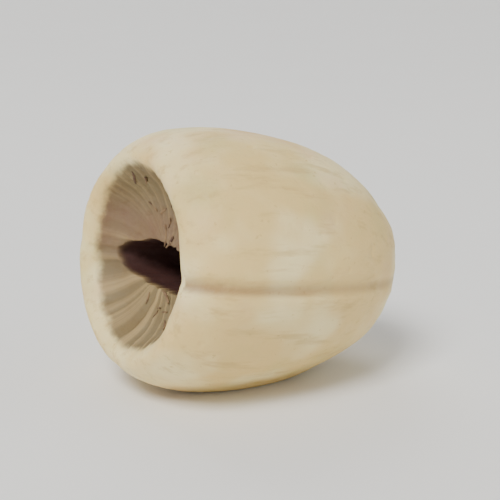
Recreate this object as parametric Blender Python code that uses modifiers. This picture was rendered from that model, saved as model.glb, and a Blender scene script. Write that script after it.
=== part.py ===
"""One dried lotus seed, peeled and cored, lying on its side on a small flat spot.

The seed is modelled upright, open end up, as a turned body. It is then pressed out of round, cut and laid down.
Units are metres, +Z is up, and the open end faces -X.
"""
import math

import bmesh
import bpy
import numpy as np
from mathutils import Matrix

MM = 0.001

# Outside of the kernel
LENGTH = 14.4 * MM
MOUTH_RADIUS = 4.3 * MM
CRATER_DEPTH = 2.0 * MM
LIP_RADIUS = 5.1 * MM
BELLY_RADIUS = 6.75 * MM
BELLY_HEIGHT = 9.6 * MM
FLATTENING = 0.96
SCREW_STEPS = 72
PROFILE_STEPS_PER_SPAN = 3

# Relief of the outside
LOBE_DEPTH = 0.10 * MM
LOBE_TURN = 0.4
FLUTE_COUNT = 9
FLUTE_DEPTH = 0.05 * MM
FLUTE_UNEVENNESS = 1.3
FLUTE_TWIST = 0.8
SEAM_DEPTH = 0.34 * MM
SEAM_WIDTH = 0.55 * MM
BACK_SEAM_DEPTH = 0.22 * MM
SEAM_CROWDING = 0.32
NOTCH_SHARE = 0.9
NOTCH_REACH = 0.5
CHEEK_SWELL = 0.16 * MM

# Slit between the two halves, and the hole of the coring needle
SLIT_LENGTH = 6.9 * MM
SLIT_THICKNESS = 1.9 * MM
SLIT_BOTTOM = 4.6 * MM
SLIT_SIDE_SHIFT = -0.35 * MM
SLIT_POINT_REACH = 1.25
SLIT_POINT_THINNING = 0.55
NEEDLE_RADIUS = 0.65 * MM
NEEDLE_REACH = 6.5 * MM
NEEDLE_SIDE_SHIFT = 0.12 * MM

# How it lies
LAYING_TILT = math.radians(8)
REST_SPOT_LENGTH = 5.0 * MM
LEVEL_STEP = 0.01 * MM

CREAM = (0.80, 0.64, 0.32, 1.0)
CREAM_ROUGHNESS = 0.55
MERGE = 0.00001


def smooth_line(points, steps):
    """A smooth curve through the given points, with a number of steps in each span."""
    knots = np.array(points, float)
    ends = np.vstack([2 * knots[0] - knots[1], knots, 2 * knots[-1] - knots[-2]])
    curve = []
    for first in range(len(knots) - 1):
        a, b, c, d = ends[first:first + 4]
        for t in np.linspace(0, 1, steps, endpoint=False):
            linear = (c - a) * t
            square = (2 * a - 5 * b + 4 * c - d) * t ** 2
            cube = (3 * b - a - 3 * c + d) * t ** 3
            curve.append(0.5 * (2 * b + linear + square + cube))
    curve.append(knots[-1])
    return curve


def kernel_profile():
    """Half outline of the kernel: crater floor, rolled lip, belly and rounded far end."""
    floor = LENGTH - CRATER_DEPTH
    crater = [
        (0.0, floor),
        (0.45 * MOUTH_RADIUS, floor + 0.06 * CRATER_DEPTH),
        (0.80 * MOUTH_RADIUS, floor + 0.36 * CRATER_DEPTH),
        (MOUTH_RADIUS, floor + 0.80 * CRATER_DEPTH),
    ]
    lip = [
        (LIP_RADIUS, LENGTH),
        (0.88 * BELLY_RADIUS, LENGTH - 0.050 * LENGTH),
        (0.97 * BELLY_RADIUS, LENGTH - 0.155 * LENGTH),
    ]
    side = [
        (BELLY_RADIUS, BELLY_HEIGHT),
        (0.965 * BELLY_RADIUS, 0.48 * LENGTH),
        (0.885 * BELLY_RADIUS, 0.33 * LENGTH),
        (0.745 * BELLY_RADIUS, 0.19 * LENGTH),
        (0.560 * BELLY_RADIUS, 0.085 * LENGTH),
        (0.330 * BELLY_RADIUS, 0.020 * LENGTH),
        (0.0, 0.0),
    ]
    return smooth_line(crater + lip + side, PROFILE_STEPS_PER_SPAN)


def link(obj, collection):
    """Puts an object in one collection only."""
    for old in list(obj.users_collection):
        old.objects.unlink(obj)
    collection.objects.link(obj)
    return obj


def turned_mesh(name, profile, collection):
    """A closed mesh turned about Z from a half outline."""
    mesh = bpy.data.meshes.new(name)
    points = [(radius, 0.0, height) for radius, height in profile]
    edges = [(i, i + 1) for i in range(len(points) - 1)]
    mesh.from_pydata(points, edges, [])
    source = bpy.data.objects.new(name + "_profile", mesh)
    collection.objects.link(source)
    screw = source.modifiers.new("Turn", 'SCREW')
    screw.steps = SCREW_STEPS
    screw.render_steps = SCREW_STEPS
    screw.use_merge_vertices = True
    screw.merge_threshold = MERGE
    evaluated = source.evaluated_get(bpy.context.evaluated_depsgraph_get())
    turned = bpy.data.meshes.new_from_object(evaluated)
    bpy.data.objects.remove(source)
    shape = bmesh.new()
    shape.from_mesh(turned)
    bmesh.ops.remove_doubles(shape, verts=shape.verts, dist=MERGE)
    shape.to_mesh(turned)
    shape.free()
    return turned


def bump(distance, width):
    """A smooth bell, 1 in the middle and near 0 at one width away."""
    return math.exp(-(2 * distance / width) ** 2)


def press_out_of_round(mesh):
    """Gives the turned body its two lobes, seams, flutes and uneven cheeks."""
    for vertex in mesh.vertices:
        x, y, z = vertex.co
        radius = math.hypot(x, y)
        if radius < MERGE:
            continue
        angle = math.atan2(y, x)
        angle -= 0.5 * SEAM_CROWDING * math.sin(2 * angle)
        height = min(1.0, max(0.0, z / LENGTH))
        outside = min(1.0, radius / MOUTH_RADIUS) ** 2
        on_seam = bump(radius * math.sin(angle), SEAM_WIDTH)
        front = on_seam if math.cos(angle) > 0 else 0.0
        back = on_seam - front
        middle = math.sin(math.pi * height)
        mouth = bump(height - 1.0, NOTCH_REACH)
        grow = LOBE_DEPTH * math.cos(2 * angle - LOBE_TURN)
        wander = FLUTE_UNEVENNESS * math.sin(angle) + FLUTE_TWIST * height
        grow += FLUTE_DEPTH * math.cos(FLUTE_COUNT * angle + wander)
        grow += CHEEK_SWELL * math.sin(angle) * middle
        groove = SEAM_DEPTH * front + BACK_SEAM_DEPTH * back
        grow -= groove * max(math.sqrt(max(0.0, middle)), NOTCH_SHARE * mouth)
        radius += grow * outside
        notch = NOTCH_SHARE * SEAM_DEPTH * front * mouth * outside
        vertex.co = (radius * math.cos(angle), radius * math.sin(angle) * FLATTENING, z - notch)


def slit_cutter(collection):
    """The lens-shaped cavity between the halves: blunt on one side, drawn to a point at the seam."""
    bpy.ops.mesh.primitive_uv_sphere_add(segments=32, ring_count=20, radius=1.0)
    cutter = link(bpy.context.object, collection)
    cutter.name = "slit_cutter"
    depth = LENGTH - SLIT_BOTTOM
    for vertex in cutter.data.vertices:
        x, y, z = vertex.co
        reach = SLIT_POINT_REACH if x > 0 else 1.0
        thin = 1.0 - SLIT_POINT_THINNING * max(0.0, x) ** 1.5
        vertex.co = (
            x * reach * 0.5 * SLIT_LENGTH,
            y * thin * 0.5 * SLIT_THICKNESS + SLIT_SIDE_SHIFT,
            LENGTH + z * depth,
        )
    return cutter


def needle_cutter(collection):
    """The round hole that the coring needle left in the far end."""
    bpy.ops.mesh.primitive_cylinder_add(vertices=20, radius=NEEDLE_RADIUS, depth=2 * NEEDLE_REACH)
    cutter = link(bpy.context.object, collection)
    cutter.name = "needle_cutter"
    cutter.data.transform(Matrix.Translation((NEEDLE_SIDE_SHIFT, SLIT_SIDE_SHIFT, 0.0)))
    return cutter


def ground_cutter(level, collection):
    """A slab whose top face trims the resting spot."""
    bpy.ops.mesh.primitive_cube_add(size=1.0)
    cutter = link(bpy.context.object, collection)
    cutter.name = "ground_cutter"
    side = 3 * LENGTH
    cutter.data.transform(Matrix.Translation((0, 0, level - 0.5 * side)) @ Matrix.Scale(side, 4))
    return cutter


def cut(target, cutter):
    """Cuts one mesh from another and puts the cutter out of sight."""
    modifier = target.modifiers.new(cutter.name, 'BOOLEAN')
    modifier.operation = 'DIFFERENCE'
    modifier.solver = 'EXACT'
    modifier.object = cutter
    cutter.hide_render = True
    cutter.display_type = 'WIRE'


def apply_modifiers(obj):
    """Replaces an object's mesh by what its modifiers make of it."""
    bpy.context.view_layer.update()
    evaluated = obj.evaluated_get(bpy.context.evaluated_depsgraph_get())
    result = bpy.data.meshes.new_from_object(evaluated)
    obj.modifiers.clear()
    obj.data = result


def cream_material():
    """Pale, waxy flesh of the peeled seed."""
    material = bpy.data.materials.new("cream_flesh")
    material.use_nodes = True
    shader = material.node_tree.nodes["Principled BSDF"]
    shader.inputs["Base Color"].default_value = CREAM
    shader.inputs["Roughness"].default_value = CREAM_ROUGHNESS
    shader.inputs["Metallic"].default_value = 0.0
    return material


def lay_down(mesh):
    """Turns the upright kernel onto its side, open end to -X and a little raised."""
    to_side = Matrix.Rotation(-0.5 * math.pi, 4, 'Y')
    seam_to_front = Matrix.Rotation(-0.5 * math.pi, 4, 'Z')
    tilt = Matrix.Rotation(LAYING_TILT, 4, 'Y')
    mesh.transform(tilt @ to_side @ seam_to_front)


def rest_level(mesh):
    """Height at which a flat cut is as long as the resting spot."""
    heights = np.array([tuple(v.co) for v in mesh.vertices])
    lowest = heights[:, 2].min()
    level = lowest
    while True:
        level += LEVEL_STEP
        below = heights[heights[:, 2] < level]
        if np.ptp(below[:, 0]) > REST_SPOT_LENGTH:
            return level


def main():
    """Builds the seed."""
    for old in list(bpy.data.objects):
        bpy.data.objects.remove(old)
    parts = bpy.data.collections.new("lotus_seed")
    cutters = bpy.data.collections.new("cutters")
    bpy.context.scene.collection.children.link(parts)
    bpy.context.scene.collection.children.link(cutters)

    mesh = turned_mesh("kernel", kernel_profile(), parts)
    press_out_of_round(mesh)
    kernel = bpy.data.objects.new("kernel", mesh)
    parts.objects.link(kernel)
    cut(kernel, slit_cutter(cutters))
    cut(kernel, needle_cutter(cutters))
    apply_modifiers(kernel)

    lay_down(kernel.data)
    level = rest_level(kernel.data)
    cut(kernel, ground_cutter(level, cutters))
    apply_modifiers(kernel)

    corners = np.array([tuple(v.co) for v in kernel.data.vertices])
    middle = 0.5 * (corners.min(axis=0) + corners.max(axis=0))
    kernel.data.transform(Matrix.Translation((-middle[0], -middle[1], -corners[:, 2].min())))
    kernel.data.materials.clear()
    kernel.data.materials.append(cream_material())
    kernel.data.shade_smooth()
    kernel.data.set_sharp_from_angle(angle=math.radians(40))


main()
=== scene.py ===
"""Looks of one dried lotus seed, peeled and cored, lying on its side on a pale floor.

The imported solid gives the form. Its copy is made fine, gets the relief of dry flesh,
and is coloured by place.
"""
import logging
import math
from dataclasses import dataclass
from enum import Enum
from typing import Any

import bmesh
import bpy
import numpy as np
from mathutils import Matrix, Vector


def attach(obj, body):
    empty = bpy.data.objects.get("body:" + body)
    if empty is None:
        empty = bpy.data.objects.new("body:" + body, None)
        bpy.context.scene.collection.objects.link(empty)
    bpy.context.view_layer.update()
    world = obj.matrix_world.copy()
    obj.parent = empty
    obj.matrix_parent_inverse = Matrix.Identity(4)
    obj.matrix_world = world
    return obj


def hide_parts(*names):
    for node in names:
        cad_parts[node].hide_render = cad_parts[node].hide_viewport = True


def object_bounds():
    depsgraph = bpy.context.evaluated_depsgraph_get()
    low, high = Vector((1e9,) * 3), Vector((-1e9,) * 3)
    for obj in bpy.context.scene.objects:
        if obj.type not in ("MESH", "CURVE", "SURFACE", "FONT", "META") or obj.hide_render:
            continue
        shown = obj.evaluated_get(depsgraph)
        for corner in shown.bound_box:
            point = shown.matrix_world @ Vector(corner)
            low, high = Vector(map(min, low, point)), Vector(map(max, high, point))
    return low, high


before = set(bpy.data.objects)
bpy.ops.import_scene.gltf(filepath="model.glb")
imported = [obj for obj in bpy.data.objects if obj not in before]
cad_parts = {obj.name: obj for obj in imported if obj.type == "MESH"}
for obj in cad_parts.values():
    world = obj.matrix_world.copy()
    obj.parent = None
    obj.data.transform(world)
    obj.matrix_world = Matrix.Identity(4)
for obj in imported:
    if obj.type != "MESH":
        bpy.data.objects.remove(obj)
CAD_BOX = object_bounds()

LOG = logging.getLogger("lotus_seed")
MM = 0.001
SPOKE_SCALE = 6.0
Colour = tuple[float, float, float, float]


class Place(Enum):
    """Names of the point attributes that tell the materials where on the seed they are."""

    SEED = "seed_place"
    CRATER = "crater"
    SLIT = "slit"
    SEAM = "seam"


def soft_step(values: np.ndarray, low: float, high: float) -> np.ndarray:
    """Smooth rise from 0 at low to 1 at high.

    Args:
        values: The numbers to grade.
        low: Where the rise starts.
        high: Where it ends.

    Returns:
        Numbers from 0 to 1.
    """
    share = np.clip((values - low) / (high - low), 0.0, 1.0)
    return share * share * (3.0 - 2.0 * share)


@dataclass
class Nodes:
    """Short way to write a node tree."""

    tree: Any

    def add(self, kind: str, inputs: dict[Any, Any] | None = None, **settings: Any) -> Any:
        """Adds one node.

        Args:
            kind: Blender's name of the node type.
            inputs: Values or sockets for its inputs, by name or number.
            settings: Properties of the node.

        Returns:
            The node.
        """
        node = self.tree.nodes.new(kind)
        for name, value in settings.items():
            setattr(node, name, value)
        for key, value in (inputs or {}).items():
            if isinstance(value, bpy.types.NodeSocket):
                self.tree.links.new(value, node.inputs[key])
            else:
                node.inputs[key].default_value = value
        return node

    def math(self, operation: str, first: Any, second: Any = 0.0, third: Any = 0.0) -> Any:
        """One Math node's result."""
        node = self.add("ShaderNodeMath", {0: first, 1: second, 2: third}, operation=operation)
        return node.outputs[0]

    def stored(self, place: Place, kind: str = 'FLOAT') -> Any:
        """A point attribute's value in a Geometry Nodes tree."""
        inputs = {"Name": place.value}
        return self.add("GeometryNodeInputNamedAttribute", inputs, data_type=kind).outputs[0]

    def vector(self, operation: str, first: Any, second: Any = (0.0, 0.0, 0.0)) -> Any:
        """One Vector Math node's vector."""
        node = self.add("ShaderNodeVectorMath", {0: first, 1: second}, operation=operation)
        return node.outputs["Vector"]

    def scaled(self, vector: Any, scale: Any) -> Any:
        """A vector times a number."""
        node = self.add("ShaderNodeVectorMath", {0: vector, "Scale": scale}, operation='SCALE')
        return node.outputs["Vector"]

    def drawn(self, low: float, high: float, seed: int) -> Any:
        """A seeded random number for each point of a Geometry Nodes tree."""
        inputs = {2: low, 3: high, "Seed": seed}
        return self.add("FunctionNodeRandomValue", inputs, data_type='FLOAT').outputs[1]

    def noise(self, vector: Any, scale: float, detail: float = 3.0, rough: float = 0.55) -> Any:
        """One Noise Texture's value."""
        inputs = {"Vector": vector, "Scale": scale, "Detail": detail, "Roughness": rough}
        return self.add("ShaderNodeTexNoise", inputs).outputs[0]

    def graded(self, value: Any, low: float, high: float) -> Any:
        """Smooth rise of a value from 0 at low to 1 at high."""
        inputs = {"Value": value, "From Min": low, "From Max": high}
        node = self.add("ShaderNodeMapRange", inputs, interpolation_type='SMOOTHSTEP')
        return node.outputs["Result"]

    def mixed(self, share: Any, first: Any, second: Any) -> Any:
        """A colour between two colours.

        Args:
            share: How much of the second colour, from 0 to 1.
            first: A colour or its socket.
            second: A colour or its socket.

        Returns:
            The mixed colour's socket.
        """
        node = self.add("ShaderNodeMix", data_type='RGBA')
        sockets = {0: share, 6: first, 7: second}
        for number, value in sockets.items():
            if isinstance(value, bpy.types.NodeSocket):
                self.tree.links.new(value, node.inputs[number])
            else:
                node.inputs[number].default_value = value
        return node.outputs[2]


@dataclass(frozen=True)
class Tint:
    """One cloudy tint over the flesh: where its noise passes low it starts, and by high it is full."""

    colour: Colour
    scale: float
    low: float
    high: float
    share: float = 1.0
    detail: float = 2.0
    rough: float = 0.55
    shift: tuple[float, float, float] = (0.0, 0.0, 0.0)
    stretch: float = 1.0

    def over(self, kit: Nodes, place: Any, colour: Any) -> Any:
        """Lays the tint over a colour.

        Args:
            kit: The tree's node maker.
            place: The seed's own coordinates, in metres.
            colour: The colour below.

        Returns:
            The tinted colour's socket.
        """
        spot = kit.vector('ADD', place, self.shift)
        spot = kit.vector('MULTIPLY', spot, (1.0, 1.0, self.stretch))
        clouds = kit.graded(kit.noise(spot, self.scale, self.detail, self.rough), self.low, self.high)
        return kit.mixed(kit.math('MULTIPLY', clouds, self.share), colour, self.colour)


def spokes(kit: Nodes, place: Any, low: float, high: float) -> Any:
    """Bands that run out from the middle of the open end, graded from low to high.

    Args:
        kit: The tree's node maker.
        place: The seed's own coordinates, in metres.
        low: Noise value that gives 0.
        high: Noise value that gives 1.

    Returns:
        The bands' socket.
    """
    outward = kit.vector('NORMALIZE', kit.vector('MULTIPLY', place, (1.0, 1.0, 0.0)))
    return kit.graded(kit.noise(outward, SPOKE_SCALE), low, high)


@dataclass(frozen=True)
class DryFlesh:
    """Ivory flesh of the seed, with the brown film left in its crater, and painted shade inside the
    slit and the hole at the far end.
    """

    ivory: Colour = (0.76, 0.55, 0.21, 1.0)
    chalk: Tint = Tint((0.88, 0.74, 0.38, 1.0), 260.0, 0.38, 0.66)
    moss: Tint = Tint((0.46, 0.42, 0.13, 1.0), 190.0, 0.52, 0.72, 0.35, shift=(3.0, 0.0, 0.0))
    blush: Tint = Tint((0.74, 0.46, 0.25, 1.0), 230.0, 0.54, 0.74, 0.38, shift=(0.0, 5.0, 0.0))
    streaks: Tint = Tint((0.50, 0.31, 0.09, 1.0), 1500.0, 0.50, 0.72, 0.46, 4.0, 0.65, stretch=0.14)
    specks: Tint = Tint((0.50, 0.31, 0.09, 1.0), 3400.0, 0.66, 0.76, 0.40)
    taupe: Colour = (0.125, 0.082, 0.034, 1.0)
    mauve: Colour = (0.13, 0.058, 0.040, 1.0)
    ridge: Colour = (0.31, 0.21, 0.09, 1.0)
    # Painted shade: a near-black for the inside of the slit and the hole at the far end, which lie in
    # shade.
    slit_painted_shade: Colour = (0.045, 0.013, 0.009, 1.0)
    seam_brown: Colour = (0.26, 0.14, 0.05, 1.0)
    seam_share: float = 0.80
    film_share: float = 0.90
    film_roughness: float = 0.16
    film_edge: tuple[float, float] = (0.22, 0.78)
    ridge_band: tuple[float, float] = (0.46, 0.66)
    mauve_scale: float = 900.0
    mauve_share: float = 1.3
    mauve_lift: float = 0.8 * MM
    mauve_reach: float = 2.4 * MM
    mauve_full: float = 0.4 * MM
    ragged_scale: float = 1100.0
    ragged_depth: float = 0.8
    grain_scale: float = 5200.0
    roughness: float = 0.44
    grain_roughness: float = 0.22
    grain_strength: float = 0.35
    grain_depth: float = 0.07 * MM
    translucence: float = 0.12
    light_depth: float = 0.8 * MM
    light_colours: tuple[float, float, float] = (1.0, 0.6, 0.25)

    def body_colour(self, kit: Nodes, place: Any) -> Any:
        """Ivory with soft clouds, streaks along the seed and small specks.

        Args:
            kit: The tree's node maker.
            place: The seed's own coordinates, in metres.

        Returns:
            The colour's socket.
        """
        colour = self.ivory
        for tint in (self.chalk, self.moss, self.blush, self.streaks, self.specks):
            colour = tint.over(kit, place, colour)
        return colour

    def crater_colour(self, kit: Nodes, place: Any) -> Any:
        """Brown film with lighter ridges that run out from the slit, mauve beside it.

        Args:
            kit: The tree's node maker.
            place: The seed's own coordinates, in metres.

        Returns:
            The colour's socket.
        """
        colour = kit.mixed(spokes(kit, place, *self.ridge_band), self.taupe, self.ridge)
        lift = kit.add("ShaderNodeSeparateXYZ", {0: place}).outputs[1]
        away = kit.math('ABSOLUTE', kit.math('SUBTRACT', lift, self.mauve_lift))
        near = kit.graded(away, self.mauve_reach, self.mauve_full)
        patch = kit.math('MULTIPLY', near, kit.noise(place, self.mauve_scale))
        return kit.mixed(kit.math('MULTIPLY', patch, self.mauve_share), colour, self.mauve)

    def make(self) -> bpy.types.Material:
        """Builds the material.

        Returns:
            The finished material.
        """
        material = bpy.data.materials.new("dry_flesh")
        material.use_nodes = True
        kit = Nodes(material.node_tree)
        shader = material.node_tree.nodes["Principled BSDF"]
        place = kit.add("ShaderNodeAttribute", attribute_name=Place.SEED.value).outputs["Vector"]
        masks = {
            name: kit.add("ShaderNodeAttribute", attribute_name=name.value).outputs["Fac"]
            for name in (Place.CRATER, Place.SLIT, Place.SEAM)
        }
        uneven = kit.math('SUBTRACT', kit.noise(place, self.ragged_scale, 4.0), 0.5)
        ragged = kit.math('MULTIPLY', uneven, self.ragged_depth)
        film = kit.graded(kit.math('ADD', masks[Place.CRATER], ragged), *self.film_edge)
        colour = self.body_colour(kit, place)
        seam = kit.math('MULTIPLY', masks[Place.SEAM], self.seam_share)
        colour = kit.mixed(seam, colour, self.seam_brown)
        cover = kit.math('MULTIPLY', film, self.film_share)
        colour = kit.mixed(cover, colour, self.crater_colour(kit, place))
        # Painted shade: the slit and the hole at the far end are laid in near-black.
        colour = kit.mixed(masks[Place.SLIT], colour, self.slit_painted_shade)
        kit.tree.links.new(colour, shader.inputs["Base Color"])
        grain = kit.noise(place, self.grain_scale, 4.0, 0.6)
        rough = kit.math('MULTIPLY_ADD', grain, self.grain_roughness, self.roughness)
        rough = kit.math('MULTIPLY_ADD', film, self.film_roughness, rough)
        kit.tree.links.new(rough, shader.inputs["Roughness"])
        sizes = {"Height": grain, "Strength": self.grain_strength, "Distance": self.grain_depth}
        bump = kit.add("ShaderNodeBump", sizes)
        kit.tree.links.new(bump.outputs[0], shader.inputs["Normal"])
        shader.inputs["Subsurface Weight"].default_value = self.translucence
        shader.inputs["Subsurface Radius"].default_value = self.light_colours
        shader.inputs["Subsurface Scale"].default_value = self.light_depth
        return material


@dataclass(frozen=True)
class BrownFilm:
    """Dry scraps of the seed's inner skin."""

    dark: Colour = (0.085, 0.040, 0.022, 1.0)
    pale: Colour = (0.24, 0.15, 0.07, 1.0)
    roughness: float = 0.7
    cloud_scale: float = 1600.0
    cloud_band: tuple[float, float] = (0.35, 0.65)

    def make(self) -> bpy.types.Material:
        """Builds the material.

        Returns:
            The finished material.
        """
        material = bpy.data.materials.new("brown_film")
        material.use_nodes = True
        kit = Nodes(material.node_tree)
        shader = material.node_tree.nodes["Principled BSDF"]
        place = kit.add("ShaderNodeTexCoord").outputs["Object"]
        share = kit.graded(kit.noise(place, self.cloud_scale), *self.cloud_band)
        kit.tree.links.new(kit.mixed(share, self.dark, self.pale), shader.inputs["Base Color"])
        shader.inputs["Roughness"].default_value = self.roughness
        return material


@dataclass(frozen=True)
class StudioFloor:
    """Matt pale paper."""

    paper: Colour = (0.86, 0.85, 0.82, 1.0)
    shade: Colour = (0.84, 0.83, 0.80, 1.0)
    cloud_scale: float = 40.0
    roughness: float = 0.85

    def make(self) -> bpy.types.Material:
        """Builds the material.

        Returns:
            The finished material.
        """
        material = bpy.data.materials.new("floor_paper")
        material.use_nodes = True
        kit = Nodes(material.node_tree)
        shader = material.node_tree.nodes["Principled BSDF"]
        place = kit.add("ShaderNodeTexCoord").outputs["Object"]
        share = kit.noise(place, self.cloud_scale, 2.0)
        kit.tree.links.new(kit.mixed(share, self.paper, self.shade), shader.inputs["Base Color"])
        shader.inputs["Roughness"].default_value = self.roughness
        return material


def run_tree(obj: bpy.types.Object, tree: Any, values: dict[str, Any]) -> None:
    """Runs a Geometry Nodes tree on an object and keeps the plain mesh.

    Args:
        obj: The object to change.
        tree: The node group.
        values: Inputs by their socket names.
    """
    modifier = obj.modifiers.new(tree.name, 'NODES')
    modifier.node_group = tree
    for item in tree.interface.items_tree:
        if item.item_type == 'SOCKET' and item.in_out == 'INPUT' and item.name in values:
            modifier[item.identifier] = values[item.name]
    bpy.context.view_layer.update()
    evaluated = obj.evaluated_get(bpy.context.evaluated_depsgraph_get())
    result = bpy.data.meshes.new_from_object(evaluated)
    obj.modifiers.clear()
    obj.data = result


def new_tree(name: str, sizes: dict[str, float], others: dict[str, str]) -> tuple[Any, Nodes, Any]:
    """An empty Geometry Nodes tree with a geometry going in and out.

    Args:
        name: The tree's name.
        sizes: Number inputs with their defaults.
        others: Other inputs with their socket types.

    Returns:
        The tree, its node maker and the group's input node.
    """
    tree = bpy.data.node_groups.new(name, 'GeometryNodeTree')
    tree.is_modifier = True
    face = tree.interface
    face.new_socket("Geometry", in_out='INPUT', socket_type='NodeSocketGeometry')
    for label, value in sizes.items():
        face.new_socket(label, in_out='INPUT', socket_type='NodeSocketFloat').default_value = value
    for label, kind in others.items():
        face.new_socket(label, in_out='INPUT', socket_type=kind)
    face.new_socket("Geometry", in_out='OUTPUT', socket_type='NodeSocketGeometry')
    kit = Nodes(tree)
    return tree, kit, kit.add("NodeGroupInput")


def close_tree(kit: Nodes, geometry: Any, material: Any) -> None:
    """Ends a tree in Realize Instances and Set Material.

    Args:
        kit: The tree's node maker.
        geometry: The socket with all the geometry.
        material: The socket with its material.
    """
    real = kit.add("GeometryNodeRealizeInstances", {0: geometry}).outputs[0]
    painted = kit.add("GeometryNodeSetMaterial", {"Geometry": real, "Material": material}).outputs[0]
    kit.add("NodeGroupOutput", {0: painted})


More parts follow.
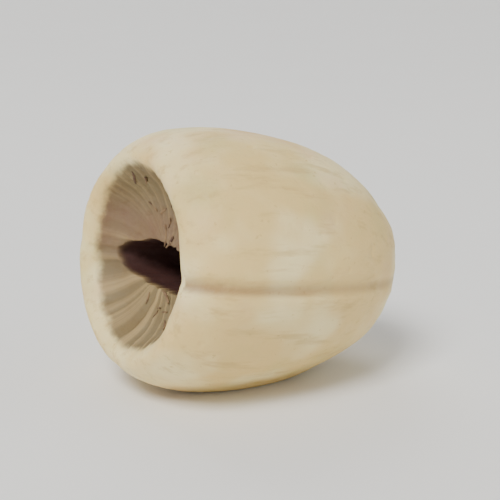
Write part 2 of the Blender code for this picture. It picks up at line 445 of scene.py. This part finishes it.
@dataclass
class Kernel:
    """The seed itself: fine mesh, relief and colour by place.

    Shares of length are counted from the far end, and shares of the mouth from its middle.
    """

    tilt: float = math.radians(8)
    mouth_radius: float = 4.3 * MM
    crater_depth: float = 2.0 * MM
    lip_radius: float = 5.1 * MM
    voxel: float = 0.125 * MM
    smooth_rounds: int = 12
    wrinkle_depth: float = 0.18 * MM
    wrinkle_scale: float = 420.0
    wrinkle_stretch: float = 0.45
    streak_depth: float = 0.08 * MM
    streak_scale: float = 1500.0
    streak_stretch: float = 0.10
    pit_depth: float = 0.06 * MM
    pit_scale: float = 1500.0
    pit_band: tuple[float, float] = (0.60, 0.78)
    spoke_depth: float = 0.12 * MM
    valley_band: tuple[float, float] = (0.66, 0.42)
    seam_width: float = 0.20 * MM
    seam_lift: float = -0.2 * MM
    back_seam_share: float = 0.45
    front_seam_start: float = 0.3
    base_fade: float = 0.6 * MM
    inside_start: float = 0.25
    dish_rise: float = 0.8
    film_full: float = 0.86
    film_end: float = 1.10
    slit_start: float = 0.15 * MM
    slit_full: float = 0.9 * MM
    needle_radius: float = 0.9 * MM
    needle_end: float = 0.3
    needle_start: float = 0.2 * MM
    needle_full: float = 1.0 * MM

    def fine_copy(self) -> bpy.types.Object:
        """Makes an even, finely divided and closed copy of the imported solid.

        Returns:
            The copy, as a new object.
        """
        source = bpy.data.objects["kernel"]
        mesh = bpy.data.meshes.new("kernel_flesh")
        shape = bmesh.new()
        shape.from_mesh(source.data)
        bmesh.ops.remove_doubles(shape, verts=shape.verts, dist=0.001 * MM)
        shape.to_mesh(mesh)
        shape.free()
        piece = bpy.data.objects.new("kernel_flesh", mesh)
        bpy.context.scene.collection.objects.link(piece)
        remesh = piece.modifiers.new("Even", 'REMESH')
        remesh.mode = 'VOXEL'
        remesh.voxel_size = self.voxel
        smooth = piece.modifiers.new("Soft", 'SMOOTH')
        smooth.factor = 0.5
        smooth.iterations = self.smooth_rounds
        bpy.context.view_layer.update()
        evaluated = piece.evaluated_get(bpy.context.evaluated_depsgraph_get())
        fine = bpy.data.meshes.new_from_object(evaluated)
        piece.modifiers.clear()
        piece.data = fine
        return piece

    def seed_place(self, mesh: bpy.types.Mesh) -> np.ndarray:
        """Each point's place on the seed: across to the front seam, lift, and along to the open end.

        Args:
            mesh: The seed's mesh, lying as it rests.

        Returns:
            One row of three metres for each point.
        """
        flat = np.empty(3 * len(mesh.vertices))
        mesh.vertices.foreach_get("co", flat)
        x, y, z = flat.reshape(-1, 3).T
        along = -(x * math.cos(self.tilt) - z * math.sin(self.tilt))
        lift = x * math.sin(self.tilt) + z * math.cos(self.tilt)
        across = -y
        middle = 0.5 * (lift.max() + lift.min())
        return np.stack([across, lift - middle, along - along.min()], axis=1)

    def mark_places(self, mesh: bpy.types.Mesh) -> None:
        """Stores the seed's coordinates and the masks of crater, slit and seam on the mesh.

        Args:
            mesh: The seed's mesh, lying as it rests.
        """
        place = self.seed_place(mesh)
        across, lift, along = place.T
        length = along.max()
        radius = np.hypot(across, lift)
        mouth_share = radius / self.mouth_radius
        inside = (radius < self.lip_radius) & (along > self.inside_start * length)
        floor = length - self.crater_depth * (1.0 - self.dish_rise * np.clip(mouth_share, 0, 1) ** 2)
        crater = inside * (1.0 - soft_step(mouth_share, self.film_full, self.film_end))
        sunk = soft_step(floor - along, self.slit_start, self.slit_full)
        # Points sunk below the crater's floor, inside the slit, where the material paints dark shade.
        slit = inside * (radius < self.mouth_radius) * sunk
        # The hole at the far end, painted with the same dark shade as the slit.
        needle = (radius < self.needle_radius) * (along < self.needle_end * length)
        needle = needle * soft_step(along, self.needle_start, self.needle_full)
        seam = np.exp(-((lift - self.seam_lift) / self.seam_width) ** 2) * (1 - crater) * (1 - inside)
        front = (across > 0) * soft_step(along, self.front_seam_start * length, length)
        seam *= self.back_seam_share + (1.0 - self.back_seam_share) * front
        rows = {Place.CRATER: crater, Place.SLIT: np.maximum(slit, needle), Place.SEAM: seam}
        for name, values in rows.items():
            layer = mesh.attributes.new(name.value, 'FLOAT', 'POINT')
            layer.data.foreach_set("value", values.astype(np.float32))
        layer = mesh.attributes.new(Place.SEED.value, 'FLOAT_VECTOR', 'POINT')
        layer.data.foreach_set("vector", place.astype(np.float32).ravel())

    def relief_tree(self) -> Any:
        """Pushes the surface in by wrinkles, streaks, pits and the crater's spokes.

        Returns:
            The tree.
        """
        sizes = {
            "Wrinkle Depth": self.wrinkle_depth,
            "Streak Depth": self.streak_depth,
            "Pit Depth": self.pit_depth,
            "Spoke Depth": self.spoke_depth,
        }
        tree, kit, given = new_tree("flesh_relief", sizes, {"Flesh": "NodeSocketMaterial"})
        place = kit.stored(Place.SEED, 'FLOAT_VECTOR')
        crater = kit.stored(Place.CRATER)
        longer = kit.vector('MULTIPLY', place, (1.0, 1.0, self.wrinkle_stretch))
        wrinkles = kit.noise(longer, self.wrinkle_scale)
        longest = kit.vector('MULTIPLY', place, (1.0, 1.0, self.streak_stretch))
        streaks = kit.noise(longest, self.streak_scale)
        pits = kit.graded(kit.noise(place, self.pit_scale, 2.0), *self.pit_band)
        valleys = spokes(kit, place, *self.valley_band)
        depth = kit.math('MULTIPLY', wrinkles, given.outputs["Wrinkle Depth"])
        depth = kit.math('MULTIPLY_ADD', streaks, given.outputs["Streak Depth"], depth)
        depth = kit.math('MULTIPLY_ADD', pits, given.outputs["Pit Depth"], depth)
        sunk = kit.math('MULTIPLY', valleys, crater)
        depth = kit.math('MULTIPLY_ADD', sunk, given.outputs["Spoke Depth"], depth)
        position = kit.add("GeometryNodeInputPosition").outputs[0]
        height = kit.add("ShaderNodeSeparateXYZ", {0: position}).outputs[2]
        depth = kit.math('MULTIPLY', depth, kit.graded(height, 0.0, self.base_fade))
        normal = kit.add("GeometryNodeInputNormal").outputs[0]
        offset = kit.scaled(normal, kit.math('MULTIPLY', depth, -1.0))
        moved = kit.add("GeometryNodeSetPosition", {"Geometry": given.outputs[0], "Offset": offset})
        close_tree(kit, moved.outputs[0], given.outputs["Flesh"])
        return tree

    def build(self, flesh: bpy.types.Material) -> bpy.types.Object:
        """The finished seed.

        Args:
            flesh: Its material.

        Returns:
            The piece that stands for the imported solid.
        """
        piece = self.fine_copy()
        self.mark_places(piece.data)
        run_tree(piece, self.relief_tree(), {"Flesh": flesh})
        lowest = min(vertex.co.z for vertex in piece.data.vertices)
        piece.data.transform(Matrix.Translation((0.0, 0.0, -lowest)))
        piece.data.shade_smooth()
        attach(piece, "root")
        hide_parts("kernel")
        LOG.info("kernel_flesh: %d faces", len(piece.data.polygons))
        return piece


@dataclass
class SkinScraps:
    """Thin scraps of brown skin that still cling inside the crater."""

    density: float = 0.6e6
    length: float = 0.95 * MM
    width: float = 0.17 * MM
    thickness: float = 0.035 * MM
    curl: float = 0.08 * MM
    rise: float = 0.02 * MM
    taper: float = 2.4
    ragged: float = 0.16
    wave: float = 0.2
    film_needed: float = 0.8
    slit_clearance: float = 4.0
    smallest: float = 0.45
    largest: float = 1.15
    seed: int = 7

    def scrap(self) -> bpy.types.Object:
        """Models one curled scrap, thick enough to be a closed body.

        Returns:
            The scrap, as an object at the origin.
        """
        shape = bmesh.new()
        bmesh.ops.create_grid(shape, x_segments=6, y_segments=4, size=0.5)
        for vertex in shape.verts:
            x, y, _ = vertex.co
            narrow = 1.0 - self.taper * x * x + self.ragged * math.sin(17 * x + 5 * y)
            lift = self.rise + self.curl * (2 * x * x - 1.5 * y * y + self.wave * math.sin(9 * x))
            vertex.co = (x * self.length, y * self.width * narrow, lift)
        mesh = bpy.data.meshes.new("skin_scrap")
        shape.to_mesh(mesh)
        shape.free()
        piece = bpy.data.objects.new("skin_scrap", mesh)
        bpy.context.scene.collection.objects.link(piece)
        wall = piece.modifiers.new("Wall", 'SOLIDIFY')
        wall.thickness = self.thickness
        wall.offset = 0.0
        return piece

    def scatter_tree(self) -> Any:
        """Places scraps on the crater's surface, each turned and sized by a seeded draw.

        Returns:
            The tree.
        """
        sizes = {"Density": self.density}
        others = {"Scrap": "NodeSocketObject", "Film": "NodeSocketMaterial"}
        tree, kit, given = new_tree("skin_scraps", sizes, others)
        slit = kit.math('MULTIPLY', kit.stored(Place.SLIT), self.slit_clearance)
        clear = kit.math('SUBTRACT', kit.stored(Place.CRATER), slit)
        where = kit.math('GREATER_THAN', clear, self.film_needed)
        points = kit.add(
            "GeometryNodeDistributePointsOnFaces",
            {
                "Mesh": given.outputs[0],
                "Density": kit.math('MULTIPLY', where, given.outputs["Density"]),
                "Seed": self.seed,
            },
        )
        spin = kit.drawn(0.0, math.tau, self.seed + 1)
        turn = kit.add("ShaderNodeCombineXYZ", {2: spin}).outputs[0]
        turned = kit.add(
            "FunctionNodeRotateRotation",
            {0: points.outputs["Rotation"], 1: turn},
            rotation_space='LOCAL',
        ).outputs[0]
        size = kit.drawn(self.smallest, self.largest, self.seed + 2)
        model = kit.add("GeometryNodeObjectInfo", {0: given.outputs["Scrap"]}).outputs["Geometry"]
        copies = kit.add(
            "GeometryNodeInstanceOnPoints",
            {"Points": points.outputs[0], "Instance": model, "Rotation": turned, "Scale": size},
        )
        close_tree(kit, copies.outputs[0], given.outputs["Film"])
        return tree

    def build(self, kernel: bpy.types.Object, film: bpy.types.Material) -> bpy.types.Object:
        """All the scraps as one piece.

        Args:
            kernel: The finished seed, which they lie on.
            film: Their material.

        Returns:
            The piece.
        """
        model = self.scrap()
        piece = bpy.data.objects.new("skin_scraps", kernel.data.copy())
        bpy.context.scene.collection.objects.link(piece)
        run_tree(piece, self.scatter_tree(), {"Scrap": model, "Film": film})
        bpy.data.objects.remove(model)
        piece.data.shade_smooth()
        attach(piece, "root")
        LOG.info("skin_scraps: %d faces", len(piece.data.polygons))
        return piece


@dataclass(frozen=True)
class SoftLight:
    """A square area light: bearing and height angle in degrees, distance and side in metres."""

    name: str
    azimuth: float
    elevation: float
    away: float
    side: float
    watts: float


@dataclass
class Studio:
    """Pale floor, soft lights and the camera at the photograph's viewing angle."""

    azimuth: float = math.radians(-32)
    elevation: float = math.radians(13)
    lens: float = 85.0
    distance: float = 58 * MM
    floor_size: float = 8.0
    floor_squares: int = 160
    level_radius: float = 0.2
    floor_rise: float = 0.3
    sky: Colour = (0.93, 0.95, 1.0, 1.0)
    sky_strength: float = 0.36
    lights: tuple[SoftLight, ...] = (
        SoftLight("key", -58.0, 50.0, 1.20, 0.45, 16.0),
        SoftLight("fill", 45.0, 30.0, 1.40, 1.00, 3.0),
        SoftLight("back", 165.0, 45.0, 1.40, 0.80, 6.0),
    )

    def direction(self, azimuth: float, elevation: float) -> Vector:
        """Unit vector from the seed towards a place given by two angles.

        Args:
            azimuth: Bearing in radians, 0 for a place at -Y.
            elevation: Height angle in radians.

        Returns:
            The vector.
        """
        level = math.cos(elevation)
        return Vector((math.sin(azimuth) * level, -math.cos(azimuth) * level, math.sin(elevation)))

    def floor(self) -> None:
        """A wide sheet, level round the seed and curving up far away."""
        mesh = bpy.data.meshes.new("studio_floor")
        shape = bmesh.new()
        count = self.floor_squares
        bmesh.ops.create_grid(shape, x_segments=count, y_segments=count, size=0.5 * self.floor_size)
        for vertex in shape.verts:
            beyond = max(0.0, vertex.co.xy.length - self.level_radius)
            vertex.co.z = self.floor_rise * beyond ** 2
        shape.to_mesh(mesh)
        shape.free()
        sheet = bpy.data.objects.new("studio_floor", mesh)
        bpy.context.scene.collection.objects.link(sheet)
        mesh.shade_smooth()
        mesh.materials.append(StudioFloor().make())

    def hang(self, light: SoftLight) -> None:
        """Sets up one light so that it faces the seed.

        Args:
            light: Its place, size and power.
        """
        data = bpy.data.lights.new(light.name, 'AREA')
        data.size = light.side
        data.energy = light.watts
        lamp = bpy.data.objects.new(light.name, data)
        bpy.context.scene.collection.objects.link(lamp)
        towards = self.direction(math.radians(light.azimuth), math.radians(light.elevation))
        lamp.location = towards * light.away
        lamp.rotation_euler = towards.to_track_quat('Z', 'Y').to_euler()

    def camera(self, target: Vector) -> None:
        """Sets up a long lens that looks slightly down on the seed.

        Args:
            target: The point in the middle of the picture.
        """
        data = bpy.data.cameras.new("camera")
        data.lens = self.lens
        data.clip_start = 0.001
        eye = bpy.data.objects.new("camera", data)
        bpy.context.scene.collection.objects.link(eye)
        towards = self.direction(self.azimuth, self.elevation)
        eye.location = target + towards * self.distance
        eye.rotation_euler = towards.to_track_quat('Z', 'Y').to_euler()
        bpy.context.scene.camera = eye

    def build(self) -> None:
        """Sets up the whole studio."""
        low, high = (Vector(corner) for corner in CAD_BOX)
        self.camera(0.5 * (low + high))
        self.floor()
        for light in self.lights:
            self.hang(light)
        world = bpy.data.worlds.new("studio_sky")
        world.use_nodes = True
        background = world.node_tree.nodes["Background"]
        background.inputs["Color"].default_value = self.sky
        background.inputs["Strength"].default_value = self.sky_strength
        bpy.context.scene.world = world
        LOG.info("studio: floor, %d lights and the camera", len(self.lights))


def main() -> None:
    """Builds the seed and its studio."""
    logging.basicConfig(level=logging.INFO, format="%(name)s: %(message)s")
    Studio().build()
    kernel = Kernel().build(DryFlesh().make())
    SkinScraps().build(kernel, BrownFilm().make())


if __name__ == "__main__":
    main()
